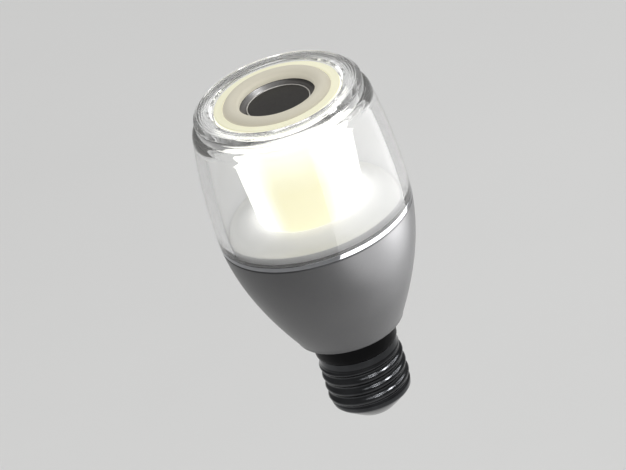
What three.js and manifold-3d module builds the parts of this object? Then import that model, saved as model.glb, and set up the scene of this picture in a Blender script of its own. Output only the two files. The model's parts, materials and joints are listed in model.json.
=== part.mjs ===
// LED light bulb with a loudspeaker in its top, on an Edison screw cap.
// Millimetres, +Z along the axis from the cap to the loudspeaker. The origin is the middle of
// the flat face of the centre contact, which is where the bulb ends in its lampholder.
import * as THREE from 'three';
import { mergeVertices } from 'three/addons/utils/BufferGeometryUtils.js';
import Module from 'manifold-3d';

const wasm = await Module();
wasm.setup();

// ---------------------------------------------------------------- driving dimensions
const GAP = 0.3; // clearance left between pieces that touch
const COARSE = 16; // sides of a small turned piece
const MEDIUM = 24; // sides of a middle-sized turned piece
const FINE = 36; // sides of a large turned piece

// Edison screw cap, the standard 26 mm size
const THREAD_PITCH = 3.629;
const THREAD_CREST_R = 13.2;
const THREAD_ROOT_R = 12.3;
const THREAD_START_Z = 7.4;
const THREAD_END_Z = 21.2;
const SHELL_BOTTOM_Z = 5.2;
const SHELL_TOP_Z = 23.85;
const SHELL_INNER_R = 11.4;
const SHELL_MOUTH_R = 11.1;
const CONTACT_R = 5.6;
const CONTACT_TOP_Z = 1.6;

// Body outline: widest a little above the seam, drawn in towards the neck and the rim
const BODY_R = 31;
const WIDEST_Z = 77;
const NECK_REACH = 75; // how far below the widest level the lower outline would close
const NECK_POWER = 1.3;
const CROWN_REACH = 110.8; // how far above it the upper outline would close
const HOUSING_BOTTOM_Z = 30.6;
const HOUSING_TOP_Z = 70;
const HOUSING_WALL = 1.6;
const NECK_R = 12.4;

// Seam, cover and rim
const TRIM_TOP_Z = 72;
const COVER_WALL = 3.1;
const SHOULDER_Z = 107;
const LEDGE_Z = 110.4; // flat top of the cover's shoulder
const RIM_R = 26.8;
const RIM_INNER_R = 20.6;
const RIM_TOP_Z = 115;

// Light
const DIFFUSER_TOP_R = 20.2;
const DIFFUSER_FOOT_R = 17;
const DIFFUSER_TOP_Z = 114.6;
const DIFFUSER_FOOT_Z = 73.9;
const DIFFUSER_WALL = 1.5;
const PLATE_INNER_R = 17.5;
const PLATE_TOP_Z = 76.7;
const PLATE_LIP_Z = 74.1;
const SINK_TOP_Z = 70.6;
const BOSS_TOP_Z = 73.6;
const WIRE_HOLE_R = 3.3;
const LED_COUNT = 8;
const LED_RING_R = 13.2;
const SCREW_COUNT = 3;
const LED_SCREW_R = 8.5; // radius of the circle of the light board's screws
const AUDIO_SCREW_R = 20; // radius of the circle of the audio board's screws

// Boards in the housing
const BOARD = 1.6; // board thickness
const AUDIO_BOARD_Z = 59;
const POWER_BOARD_BOTTOM_Z = 13;
const POWER_BOARD_TOP_Z = 56;

// Loudspeaker
const SPEAKER_RIM_R = 17.1;
const SURROUND_BASE_Z = 114;
const SURROUND_R = 14.55; // middle of the half roll
const SURROUND_HALF_WIDTH = 2.5;
const SURROUND_HEIGHT = 2;
const CONE_EDGE_R = 12.1;
const CONE_EDGE_Z = 113.1;
const CONE_NECK_R = 6.8;
const CONE_NECK_Z = 109.9;
const DUST_CAP_R = 10;
const DUST_CAP_SEAT_Z = 112.1;
const FORMER_R = 6.6;
const COIL_BOTTOM_Z = 97.8;
const COIL_TOP_Z = 103.2;
const SPIDER_Z = 104.5;
const MAGNET_R = 10.8;
const YOKE_BOTTOM_Z = 92;
const YOKE_TOP_Z = 94;
const FRONT_PLATE_BOTTOM_Z = 99.5;
const FRONT_PLATE_TOP_Z = 101.5;

// ---------------------------------------------------------------- shapes

/** Radius of the body's outline at height z. */
function bodyRadius(z) {
  if (z < WIDEST_Z) {
    return BODY_R * (1 - ((WIDEST_Z - z) / NECK_REACH) ** 2) ** NECK_POWER;
  }
  return BODY_R * (1 - ((z - WIDEST_Z) / CROWN_REACH) ** 2);
}

/** Points [radius, z] along the body's outline, moved in by inset, from one height to another. */
function outline(fromZ, toZ, inset, steps) {
  const points = [];
  for (let i = 0; i <= steps; i += 1) {
    const z = fromZ + ((toZ - fromZ) * i) / steps;
    points.push([bodyRadius(z) - inset, z]);
  }
  return points;
}

/** Points [radius, z] of an arc about a centre, between two angles in degrees from +radius. */
function arc(centreR, centreZ, radiusR, radiusZ, fromDeg, toDeg, steps) {
  const points = [];
  for (let i = 0; i <= steps; i += 1) {
    const angle = THREE.MathUtils.degToRad(fromDeg + ((toDeg - fromDeg) * i) / steps);
    points.push([centreR + radiusR * Math.cos(angle), centreZ + radiusZ * Math.sin(angle)]);
  }
  return points;
}

/**
 * A solid turned about Z. The points run anticlockwise, up the outside and down the inside,
 * and either start and end on the axis or are closed here into a ring.
 */
function turned(points, sides) {
  const profile = points.map(([r, z]) => new THREE.Vector2(r, z));
  const last = profile[profile.length - 1];
  const ring = profile[0].x > 0 || last.x > 0;
  if (ring) {
    profile.push(profile[0].clone());
  }
  return new THREE.LatheGeometry(profile, sides).rotateX(Math.PI / 2);
}

/** A plain washer or disc with a hole, between two heights. */
function washer(innerR, outerR, fromZ, toZ, sides) {
  return turned([[innerR, fromZ], [outerR, fromZ], [outerR, toZ], [innerR, toZ]], sides);
}

/** A disc or rod on the axis, between two heights. */
function disc(radius, fromZ, toZ, sides) {
  return turned([[0, fromZ], [radius, fromZ], [radius, toZ], [0, toZ]], sides);
}

/** A block between two corners. */
function block(low, high) {
  const size = high.map((value, i) => value - low[i]);
  const middle = high.map((value, i) => (value + low[i]) / 2);
  return new THREE.BoxGeometry(...size).translate(...middle);
}

/** A wire of round section along a smooth curve through the points. */
function wire(points, radius, steps) {
  const section = new THREE.Shape();
  const corners = 6;
  for (let i = 0; i < corners; i += 1) {
    const angle = (2 * Math.PI * i) / corners;
    const corner = [radius * Math.cos(angle), radius * Math.sin(angle)];
    if (i === 0) {
      section.moveTo(...corner);
    } else {
      section.lineTo(...corner);
    }
  }
  const path = new THREE.CatmullRomCurve3(points.map((p) => new THREE.Vector3(...p)));
  return new THREE.ExtrudeGeometry(section, { steps, extrudePath: path, bevelEnabled: false });
}

/** The manifold solid of a closed geometry. */
function toSolid(geometry) {
  const bare = geometry.clone();
  bare.deleteAttribute('normal');
  bare.deleteAttribute('uv');
  const merged = mergeVertices(bare, 1e-4);
  const index = merged.index.array;
  const triangles = [];
  for (let i = 0; i < index.length; i += 3) {
    const [a, b, c] = index.slice(i, i + 3);
    if (a !== b && b !== c && c !== a) {
      triangles.push(a, b, c);
    }
  }
  const mesh = new wasm.Mesh({
    numProp: 3,
    vertProperties: new Float32Array(merged.attributes.position.array),
    triVerts: new Uint32Array(triangles),
  });
  return new wasm.Manifold(mesh);
}

/** The geometry of a manifold solid. */
function toGeometry(solid) {
  const mesh = solid.getMesh();
  const geometry = new THREE.BufferGeometry();
  geometry.setAttribute('position', new THREE.BufferAttribute(mesh.vertProperties, 3));
  geometry.setIndex(new THREE.BufferAttribute(mesh.triVerts, 1));
  geometry.computeVertexNormals();
  return geometry;
}

/** The base with every addition joined on and every tool cut away, in that order. */
function shaped(base, additions, tools) {
  let solid = toSolid(base);
  for (const addition of additions) {
    solid = solid.add(toSolid(addition));
  }
  for (const tool of tools) {
    solid = solid.subtract(toSolid(tool));
  }
  return toGeometry(solid);
}

/** Copies of a geometry made at equal angles round the axis, starting at startDeg. */
function around(count, radius, startDeg, make) {
  const copies = [];
  for (let i = 0; i < count; i += 1) {
    const angle = THREE.MathUtils.degToRad(startDeg + (360 * i) / count);
    copies.push(make().translate(radius * Math.cos(angle), radius * Math.sin(angle), 0));
  }
  return copies;
}

// ---------------------------------------------------------------- materials
const PALETTE = {
  silver: { color: 0xb9bbbe, roughness: 0.38, metalness: 0.85 },
  chrome: { color: 0xd8dade, roughness: 0.08, metalness: 1 },
  nickel: { color: 0x8f9196, roughness: 0.22, metalness: 1 },
  solder: { color: 0xa9abae, roughness: 0.35, metalness: 1 },
  blackPlastic: { color: 0x17181a, roughness: 0.2, metalness: 0 },
  blackGlass: { color: 0x0c0c0e, roughness: 0.12, metalness: 0 },
  castAluminium: { color: 0xa6a8aa, roughness: 0.55, metalness: 0.9 },
  clear: { color: 0xf4f6f8, roughness: 0.03, metalness: 0, transparent: true, opacity: 0.3 },
  opal: { color: 0xfffdf2, roughness: 0.45, metalness: 0 },
  white: { color: 0xe9eae9, roughness: 0.4, metalness: 0 },
  beigeRubber: { color: 0xdcd6c4, roughness: 0.7, metalness: 0 },
  darkCone: { color: 0x3a3937, roughness: 0.6, metalness: 0 },
  greyRubber: { color: 0x6c6e70, roughness: 0.7, metalness: 0 },
  ferrite: { color: 0x2b2b2d, roughness: 0.6, metalness: 0.2 },
  steel: { color: 0x9c9ea1, roughness: 0.35, metalness: 1 },
  greenBoard: { color: 0x1f5a37, roughness: 0.45, metalness: 0 },
  whiteBoard: { color: 0xf0f0ec, roughness: 0.4, metalness: 0 },
  phosphor: { color: 0xf3df8a, roughness: 0.4, metalness: 0 },
  capacitorSleeve: { color: 0x23252c, roughness: 0.4, metalness: 0 },
  yellowTape: { color: 0xd9b53a, roughness: 0.5, metalness: 0 },
  filmBox: { color: 0xb2402f, roughness: 0.5, metalness: 0 },
  copper: { color: 0xb06a3a, roughness: 0.35, metalness: 1 },
  spiderCloth: { color: 0xc9a35a, roughness: 0.9, metalness: 0 },
  redWire: { color: 0xb3231f, roughness: 0.5, metalness: 0 },
  blackWire: { color: 0x1b1b1d, roughness: 0.5, metalness: 0 },
  whiteWire: { color: 0xe2e2de, roughness: 0.5, metalness: 0 },
};

const bulb = new THREE.Group();

/** Adds one named piece to the bulb. */
function piece(name, geometry, finish) {
  const mesh = new THREE.Mesh(geometry, new THREE.MeshStandardMaterial(PALETTE[finish]));
  mesh.name = name;
  bulb.add(mesh);
}

// ---------------------------------------------------------------- screw cap

/** Thin metal shell with a rolled right-hand thread that fades out at both ends. */
function screwShell() {
  const meanR = (THREAD_CREST_R + THREAD_ROOT_R) / 2;
  const rowsPerTurn = 6;
  const turns = (THREAD_END_Z - THREAD_START_Z) / THREAD_PITCH;
  const rows = Math.round(turns * rowsPerTurn);
  const bandR = 12.6;
  const points = [[SHELL_MOUTH_R, SHELL_BOTTOM_Z], [11.6, SHELL_BOTTOM_Z], [12.5, SHELL_BOTTOM_Z + 1]];
  for (let i = 0; i <= rows; i += 1) {
    points.push([meanR, THREAD_START_Z + ((THREAD_END_Z - THREAD_START_Z) * i) / rows]);
  }
  points.push([bandR, THREAD_END_Z + 0.5], [bandR, SHELL_TOP_Z]);
  points.push([SHELL_INNER_R, SHELL_TOP_Z], [SHELL_INNER_R, SHELL_BOTTOM_Z + 0.8]);
  points.push([SHELL_MOUTH_R, SHELL_BOTTOM_Z + 0.7]);
  const geometry = turned(points, MEDIUM);
  const position = geometry.attributes.position;
  const depth = (THREAD_CREST_R - THREAD_ROOT_R) / 2;
  for (let i = 0; i < position.count; i += 1) {
    const x = position.getX(i);
    const y = position.getY(i);
    const z = position.getZ(i);
    const radius = Math.hypot(x, y);
    const fade = Math.min(z - THREAD_START_Z, THREAD_END_Z - z) / (THREAD_PITCH / 2);
    if (radius > SHELL_INNER_R + 0.5 && fade > 0) {
      const phase = (2 * Math.PI * z) / THREAD_PITCH - Math.atan2(y, x);
      const factor = (radius + depth * Math.min(1, fade) * Math.cos(phase)) / radius;
      position.setX(i, x * factor);
      position.setY(i, y * factor);
    }
  }
  return geometry;
}

/** Domed solder button that closes the cap. */
function centreContact() {
  const flatR = 4.2;
  return turned(
    [
      [0, 0], [flatR, 0], [5.2, 0.35], [CONTACT_R, 0.9], [CONTACT_R, CONTACT_TOP_Z],
      [0, CONTACT_TOP_Z],
    ],
    COARSE,
  );
}

/** Black glass that holds the contact in a recess, with a hole for the live lead. */
function baseInsulator() {
  const recessZ = CONTACT_TOP_Z + GAP;
  const recessR = CONTACT_R + GAP;
  const bottomZ = 1.1;
  const leadHoleR = 1;
  const seatR = SHELL_MOUTH_R - GAP;
  const topZ = SHELL_BOTTOM_Z + 2.2;
  return turned(
    [
      [leadHoleR, recessZ], [recessR, recessZ], [recessR, bottomZ], [recessR + 0.7, bottomZ],
      [8.4, 2.8], [seatR, SHELL_BOTTOM_Z - 0.2], [seatR, topZ], [leadHoleR, topZ],
    ],
    MEDIUM,
  );
}

/** Plastic sleeve that carries the shell on its spigot and insulates the housing's neck. */
function neckCollar() {
  const spigotR = SHELL_INNER_R - GAP;
  const boreR = 9.6;
  const bottomZ = 11;
  const flangeZ = SHELL_TOP_Z + GAP;
  const topZ = 35.2;
  const mouthR = 12.8;
  const headR = 14.2;
  const floorTopZ = HOUSING_BOTTOM_Z + 2;
  return turned(
    [
      [boreR, bottomZ], [spigotR, bottomZ], [spigotR, flangeZ], [13.1, flangeZ],
      [13.3, HOUSING_BOTTOM_Z - GAP], [NECK_R, HOUSING_BOTTOM_Z - GAP],
      [NECK_R, floorTopZ + GAP], [headR, floorTopZ + GAP], [headR, topZ], [mouthR, topZ],
      [mouthR, topZ - 1.6], [boreR, topZ - 3],
    ],
    MEDIUM,
  );
}

piece('centre_contact', centreContact(), 'solder');
piece('base_insulator', baseInsulator(), 'blackGlass');
piece('screw_shell', screwShell(), 'nickel');
piece('neck_collar', neckCollar(), 'blackPlastic');
piece('live_lead', wire([[0, 0, 2], [0, 0, 8], [1.4, 0, 10.4], [2.5, 0, 12.6]], 0.4, 10), 'blackWire');
piece(
  'neutral_lead',
  wire([[-6.5, 0, 12.6], [-7.4, 0, 10.6], [-9.2, 0, 9.7], [-10.8, 0, 9.6]], 0.4, 10),
  'whiteWire',
);

// ---------------------------------------------------------------- housing and its boards

/** Silver shell from the neck to the seam, with a rounded foot and a bevelled top edge. */
function housingShell() {
  const footZ = HOUSING_BOTTOM_Z;
  const footR = bodyRadius(footZ + 1.4);
  const bevel = 0.4;
  const floorZ = footZ + 2;
  const holeR = NECK_R + GAP;
  const outside = outline(footZ + 1.4, HOUSING_TOP_Z - bevel, 0, 6);
  const inside = outline(floorZ + 1, HOUSING_TOP_Z, HOUSING_WALL, 4).reverse();
  return turned(
    [
      [holeR, footZ], [footR - 1.3, footZ], [footR - 0.5, footZ + 0.4], ...outside,
      [bodyRadius(HOUSING_TOP_Z) - bevel, HOUSING_TOP_Z], ...inside,
      [holeR + 1.2, floorZ], [holeR, floorZ],
    ],
    FINE,
  );
}

/** Cast core that follows the housing's wall and carries both boards. */
function heatSink() {
  const skirtZ = 51;
  const flangeZ = 66.6;
  const outerInset = HOUSING_WALL + GAP;
  const innerInset = outerInset + 2;
  const headR = 27.4;
  const bossR = 17.2;
  const body = turned(
    [
      ...outline(skirtZ, flangeZ, outerInset, 2), [headR, flangeZ + 1], [headR, SINK_TOP_Z],
      [bossR, SINK_TOP_Z], [bossR, BOSS_TOP_Z], [WIRE_HOLE_R, BOSS_TOP_Z], [WIRE_HOLE_R, flangeZ],
      ...outline(skirtZ, flangeZ, innerInset, 2).reverse(),
    ],
    FINE,
  );
  const standoffZ = AUDIO_BOARD_Z + BOARD + GAP;
  const standoffs = around(SCREW_COUNT, AUDIO_SCREW_R, 90, () => disc(3, standoffZ, flangeZ + 1, 8));
  const lowerHoles = around(SCREW_COUNT, AUDIO_SCREW_R, 90, () => disc(1.4, standoffZ - 1, 65, 6));
  const upperHoles = around(SCREW_COUNT, LED_SCREW_R, 30, () => disc(1.3, 69.4, BOSS_TOP_Z + 1, 6));
  return shaped(body, standoffs, [...lowerHoles, ...upperHoles]);
}

/** Pan-head screw on the axis, head up, its head resting at seatZ. */
function screw(seatZ, headR, headHeight, shankR, length) {
  return turned(
    [
      [0, seatZ - length], [shankR, seatZ - length], [shankR, seatZ], [headR, seatZ],
      [headR, seatZ + headHeight * 0.6], [headR * 0.6, seatZ + headHeight], [0, seatZ + headHeight],
    ],
    8,
  );
}

/** Power board: narrow in the neck, wide in the housing, standing on edge. */
function powerBoard() {
  const neckHalf = 8.6;
  const wideHalf = 14.5;
  const neckTopZ = 35;
  const shoulderZ = 38;
  const shape = new THREE.Shape([
    new THREE.Vector2(-neckHalf, POWER_BOARD_BOTTOM_Z),
    new THREE.Vector2(neckHalf, POWER_BOARD_BOTTOM_Z),
    new THREE.Vector2(neckHalf, neckTopZ),
    new THREE.Vector2(wideHalf, shoulderZ),
    new THREE.Vector2(wideHalf, POWER_BOARD_TOP_Z),
    new THREE.Vector2(-wideHalf, POWER_BOARD_TOP_Z),
    new THREE.Vector2(-wideHalf, shoulderZ),
    new THREE.Vector2(-neckHalf, neckTopZ),
  ]);
  const flat = new THREE.ExtrudeGeometry(shape, { depth: BOARD, bevelEnabled: false });
  return flat.rotateX(Math.PI / 2).translate(0, BOARD / 2, 0);
}

/** Transformer: a ferrite core round a taped winding. */
function transformer() {
  const faceY = BOARD / 2 + GAP;
  const core = block([-6.5, faceY, 43], [6.5, faceY + 11, 50]);
  const winding = block([-4.8, faceY, 40], [4.8, faceY + 10, 53]);
  return shaped(core, [winding], []);
}

/** A flat ring-shaped board with holes on one circle. */
function roundBoard(outerR, innerR, bottomZ, holeR, holeCircleR, startDeg) {
  const shape = new THREE.Shape().absarc(0, 0, outerR, 0, 2 * Math.PI);
  if (innerR > 0) {
    shape.holes.push(new THREE.Path().absarc(0, 0, innerR, 0, 2 * Math.PI));
  }
  for (let i = 0; i < SCREW_COUNT; i += 1) {
    const angle = THREE.MathUtils.degToRad(startDeg + (360 * i) / SCREW_COUNT);
    const x = holeCircleR * Math.cos(angle);
    const y = holeCircleR * Math.sin(angle);
    shape.holes.push(new THREE.Path().absarc(x, y, holeR, 0, 2 * Math.PI));
  }
  const settings = { depth: BOARD, bevelEnabled: false, curveSegments: 8 };
  return new THREE.ExtrudeGeometry(shape, settings).translate(0, 0, bottomZ);
}

const partFaceY = BOARD / 2 + GAP;
const audioTopZ = AUDIO_BOARD_Z + BOARD + GAP;

piece('housing_shell', housingShell(), 'silver');
piece('heat_sink', heatSink(), 'castAluminium');
piece('power_board', powerBoard(), 'greenBoard');
piece('smoothing_capacitor', disc(5, 36.5, 52.5, COARSE).translate(-6, -partFaceY - 5, 0), 'capacitorSleeve');
piece('flyback_transformer', transformer(), 'yellowTape');
piece('bridge_rectifier', block([-3.2, partFaceY, 30], [3.2, partFaceY + 2.5, 36]), 'blackPlastic');
piece('fuse_resistor', disc(1.8, 15, 24, 12).translate(0, partFaceY + 1.8, 0), 'whiteBoard');
piece('line_filter_choke', disc(3.6, 36.5, 42.5, 16).translate(6, -partFaceY - 3.6, 0), 'ferrite');
piece('film_capacitor', block([2, -partFaceY - 5, 44], [11, -partFaceY, 52]), 'filmBox');
piece(
  'board_header',
  block([-6, -2, POWER_BOARD_TOP_Z + GAP], [6, 2, AUDIO_BOARD_Z - GAP]),
  'blackPlastic',
);
piece('audio_board', roundBoard(23.4, 0, AUDIO_BOARD_Z, 1.6, AUDIO_SCREW_R, 90), 'greenBoard');
piece('wireless_module', block([-15, -6, audioTopZ], [-5, 8, audioTopZ + 2.4]), 'steel');
piece('amplifier_chip', block([6, -4, audioTopZ], [13, 3, audioTopZ + 1.2]), 'blackPlastic');
around(SCREW_COUNT, AUDIO_SCREW_R, 90, () =>
  screw(0, 2.4, 1.5, 1.1, 4.6).rotateX(Math.PI).translate(0, 0, AUDIO_BOARD_Z - GAP),
).forEach((geometry, i) => piece(`audio_board_screw_${i + 1}`, geometry, 'steel'));

// ---------------------------------------------------------------- light source

/** White dish on a short skirt, rising from its lip to the foot of the diffuser. */
function reflectorPlate() {
  const outerR = 27.45;
  const lipR = 26.4;
  const wall = 0.9;
  const skirtZ = SINK_TOP_Z + GAP;
  const top = [];
  const steps = 4;
  for (let i = 0; i <= steps; i += 1) {
    const t = i / steps;
    const rise = (1 - Math.cos(Math.PI * t)) / 2;
    top.push([lipR + (PLATE_INNER_R - lipR) * t, PLATE_LIP_Z + (PLATE_TOP_Z - PLATE_LIP_Z) * rise]);
  }
  const underside = top.map(([r, z]) => [r, z - wall]).reverse();
  const skirt = [
    [outerR - wall, PLATE_LIP_Z - wall], [outerR - wall, skirtZ], [outerR, skirtZ],
    [outerR, PLATE_LIP_Z],
  ];
  return turned([...underside, ...skirt, ...top], FINE);
}

/** Opal funnel that tapers down to the light board, with a flat ring turned in at its top. */
function diffuserCone() {
  const wall = DIFFUSER_WALL;
  const shoulderZ = DIFFUSER_TOP_Z - 0.9;
  const flangeR = SPEAKER_RIM_R + GAP;
  const flangeZ = DIFFUSER_TOP_Z - 1.2;
  return turned(
    [
      [DIFFUSER_FOOT_R - wall, DIFFUSER_FOOT_Z], [DIFFUSER_FOOT_R, DIFFUSER_FOOT_Z],
      [DIFFUSER_FOOT_R, PLATE_TOP_Z], [DIFFUSER_TOP_R, shoulderZ],
      [DIFFUSER_TOP_R - 0.3, DIFFUSER_TOP_Z], [flangeR, DIFFUSER_TOP_Z], [flangeR, flangeZ],
      [DIFFUSER_TOP_R - wall, flangeZ], [DIFFUSER_FOOT_R - wall, PLATE_TOP_Z],
    ],
    FINE,
  );
}

/** One surface-mounted LED on the light board, at the origin of the board's plane. */
function ledPackage() {
  const seatZ = BOSS_TOP_Z + GAP + BOARD + 0.1;
  return block([-1.4, -1.75, seatZ], [1.4, 1.75, seatZ + 0.8]);
}

/** Lead of the light board: up from its pad, over, and down the wire hole to the audio board. */
function ledLead(side) {
  const padZ = BOSS_TOP_Z + GAP + BOARD + 0.4;
  const points = [
    [0, 5.6, padZ], [0, 4.6, padZ + 1.3], [0, 2.7, padZ + 0.6], [0, 2.3, 72],
    [0, 2.3, 67], [0, 3.4, 63.6], [0, 4.6, audioTopZ],
  ];
  return wire(points.map(([x, y, z]) => [x, side * y, z]), 0.45, 10);
}

piece('led_board', roundBoard(15, 4, BOSS_TOP_Z + GAP, 1.3, LED_SCREW_R, 30), 'whiteBoard');
around(LED_COUNT, LED_RING_R, 0, ledPackage).forEach((geometry, i) =>
  piece(`led_${i + 1}`, geometry, 'phosphor'),
);
around(SCREW_COUNT, LED_SCREW_R, 30, () =>
  screw(BOSS_TOP_Z + GAP + BOARD + GAP, 1.9, 1.2, 0.95, 5.2),
).forEach((geometry, i) => piece(`led_board_screw_${i + 1}`, geometry, 'steel'));
piece('led_lead_positive', ledLead(1), 'redWire');
piece('led_lead_negative', ledLead(-1), 'blackWire');
piece('antenna_board', block([18, -6, SINK_TOP_Z + GAP], [21, 6, SINK_TOP_Z + 1.3]), 'greenBoard');
piece('reflector_plate', reflectorPlate(), 'white');
piece('diffuser_cone', diffuserCone(), 'opal');

// ---------------------------------------------------------------- seam, cover and rim

/** Polished ring between housing and cover, with a spigot below and a groove for the gasket. */
function trimRing() {
  const bottomZ = HOUSING_TOP_Z + GAP;
  const outerR = bodyRadius(HOUSING_TOP_Z + 1);
  const spigotR = 28.5;
  const spigotZ = HOUSING_TOP_Z - 2;
  const innerR = 27.8;
  const grooveR = outerR - 0.7;
  const grooveZ = TRIM_TOP_Z - 0.9;
  return turned(
    [
      [innerR, spigotZ], [spigotR, spigotZ], [spigotR, bottomZ], [outerR, bottomZ], [outerR, TRIM_TOP_Z],
      [grooveR, TRIM_TOP_Z], [grooveR, grooveZ], [innerR, grooveZ],
    ],
    FINE,
  );
}

/** Clear shell open at both ends, with a rounded shoulder turned in to a flat ledge. */
function clearCover() {
  const bottomZ = TRIM_TOP_Z + GAP;
  const ledgeInnerR = 22.4;
  const ledgeBottomZ = LEDGE_Z - 2;
  const shoulderR = bodyRadius(SHOULDER_Z);
  const turn = 2.1;
  const drop = LEDGE_Z - SHOULDER_Z;
  const shoulder = arc(shoulderR - turn, SHOULDER_Z, turn, drop, 0, 90, 4).slice(1);
  const innerTopZ = SHOULDER_Z - 1.2;
  return turned(
    [
      ...outline(bottomZ, WIDEST_Z, 0, 1), ...outline(WIDEST_Z, SHOULDER_Z, 0, 3).slice(1),
      ...shoulder, [ledgeInnerR, LEDGE_Z],
      [ledgeInnerR, ledgeBottomZ], [shoulderR - COVER_WALL - 0.9, ledgeBottomZ],
      ...outline(bottomZ, innerTopZ, COVER_WALL, 3).reverse(),
    ],
    FINE,
  );
}

/** Thick clear ring round the loudspeaker, grooved underneath, resting on the cover's ledge. */
function rimRing() {
  const bottomZ = LEDGE_Z + GAP;
  const round = 1.6;
  const grooveInnerR = 22.2;
  const grooveOuterR = 24.7;
  const grooveTopZ = RIM_TOP_Z - 2;
  const corner = arc(RIM_R - round, RIM_TOP_Z - round, round, round, 0, 90, 3);
  return turned(
    [
      [grooveOuterR, bottomZ], [RIM_R - 0.3, bottomZ], [RIM_R, bottomZ + 0.4], ...corner,
      [RIM_INNER_R + 0.6, RIM_TOP_Z], [RIM_INNER_R, RIM_TOP_Z - 0.6], [RIM_INNER_R, bottomZ],
      [grooveInnerR, bottomZ], [grooveInnerR, grooveTopZ], [grooveOuterR, grooveTopZ],
    ],
    FINE,
  );
}

piece('trim_ring', trimRing(), 'chrome');
piece('cover_gasket', washer(28.1, 29.6, TRIM_TOP_Z - 0.8, TRIM_TOP_Z, FINE), 'greyRubber');
piece('clear_cover', clearCover(), 'clear');
piece('rim_ring', rimRing(), 'clear');

// ---------------------------------------------------------------- loudspeaker, fixed pieces

/** Basket: rim for the surround, flange under the diffuser, wall down to the magnet. */
function speakerFrame() {
  const rimTopZ = SURROUND_BASE_Z - 0.2;
  const flangeTopZ = DIFFUSER_TOP_Z - 2.2;
  const flangeZ = flangeTopZ - 1;
  const seatZ = 101.8;
  return turned(
    [
      [9, seatZ], [12, seatZ], [12, seatZ + 1], [13.4, seatZ + 1], [13.9, seatZ + 2.2],
      [15.4, flangeZ], [18.2, flangeZ], [18.2, flangeTopZ], [SPEAKER_RIM_R, flangeTopZ],
      [SPEAKER_RIM_R, rimTopZ], [15.8, rimTopZ], [14.6, flangeZ + 0.4], [13, seatZ + 2.1],
      [9, seatZ + 2.1],
    ],
    MEDIUM,
  );
}

/** Sealed cup behind the loudspeaker, with a hole in its floor for the leads. */
function backChamber() {
  const topZ = DIFFUSER_TOP_Z - 3.5;
  const bottomZ = 79.4;
  const wall = 1.3;
  const topR = 17;
  const bottomR = 12.7;
  return turned(
    [
      [2.1, bottomZ], [bottomR - 0.8, bottomZ], [bottomR, bottomZ + 0.8], [topR, topZ],
      [topR - wall, topZ], [bottomR - wall, bottomZ + 1.4], [2.1, bottomZ + 1.4],
    ],
    MEDIUM,
  );
}

/** Back plate and pole of the magnet system, turned in one piece. */
function yoke() {
  const poleR = 5.8;
  const plateR = MAGNET_R + 0.2;
  return turned(
    [
      [0, YOKE_BOTTOM_Z], [plateR, YOKE_BOTTOM_Z], [plateR, YOKE_TOP_Z], [poleR, YOKE_TOP_Z],
      [poleR, FRONT_PLATE_TOP_Z], [0, FRONT_PLATE_TOP_Z],
    ],
    MEDIUM,
  );
}

/** Lead from the terminal strip, past the magnet and down the middle to the audio board. */
function speakerLead(side) {
  const x = 12.2;
  const points = [
    [x, side * 1.5, 97.6], [x, side * 1.5, 93], [x - 1.8, side * 1.3, 88.6], [5, side, 85.6],
    [1.2, side * 0.8, 83], [0, side * 0.8, 79.6], [0, side * 0.8, 72], [0, side * 0.8, 66],
    [0, side * 0.8, audioTopZ],
  ];
  return wire(points, 0.5, 14);
}

piece('back_chamber', backChamber(), 'blackPlastic');
piece('speaker_frame', speakerFrame(), 'blackPlastic');
piece(
  'speaker_gasket',
  washer(SPEAKER_RIM_R + GAP, 18.2, DIFFUSER_TOP_Z - 1.9, DIFFUSER_TOP_Z - 1.4, MEDIUM),
  'greyRubber',
);
piece(
  'front_plate',
  washer(FORMER_R + 1.1, MAGNET_R + 0.6, FRONT_PLATE_BOTTOM_Z, FRONT_PLATE_TOP_Z, MEDIUM),
  'steel',
);
piece(
  'magnet',
  washer(8.3, MAGNET_R, YOKE_TOP_Z + GAP, FRONT_PLATE_BOTTOM_Z - GAP, MEDIUM),
  'ferrite',
);
piece('yoke', yoke(), 'steel');
piece('terminal_strip', block([12.3, -3, 98], [13.3, 3, 102.5]), 'greenBoard');
piece('speaker_lead_positive', speakerLead(1), 'redWire');
piece('speaker_lead_negative', speakerLead(-1), 'blackWire');

// ---------------------------------------------------------------- loudspeaker, moving pieces

/** Rubber half roll between the basket's rim and the edge of the cone, on an inner foot. */
function surround() {
  const thickness = 0.5;
  const footR = SURROUND_R - SURROUND_HALF_WIDTH;
  const footZ = CONE_EDGE_Z + GAP;
  const baseZ = SURROUND_BASE_Z;
  const outerR = SURROUND_HALF_WIDTH;
  const innerR = outerR - thickness;
  const height = SURROUND_HEIGHT;
  const upper = arc(SURROUND_R, baseZ, outerR, height, 0, 180, 6);
  const lower = arc(SURROUND_R, baseZ, innerR, height - thickness, 180, 0, 4);
  const flange = [[SPEAKER_RIM_R, baseZ], [SPEAKER_RIM_R, baseZ + 0.4]];
  const foot = [[footR, footZ], [footR + thickness, footZ]];
  return turned([...flange, ...upper.slice(1), ...foot, ...lower], MEDIUM);
}

/** Corrugated cloth disc that centres the voice coil. */
function spider() {
  const innerR = FORMER_R + 0.2;
  const outerR = 12.6;
  const waves = 2.5;
  const steps = 6;
  const half = 0.2;
  const upper = [];
  const lower = [];
  for (let i = 0; i <= steps; i += 1) {
    const t = i / steps;
    const r = innerR + (outerR - innerR) * t;
    const z = SPIDER_Z + 0.3 * Math.sin(2 * Math.PI * waves * t);
    upper.unshift([r, z + half]);
    lower.push([r, z - half]);
  }
  return turned([...lower, ...upper], COARSE);
}

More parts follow.
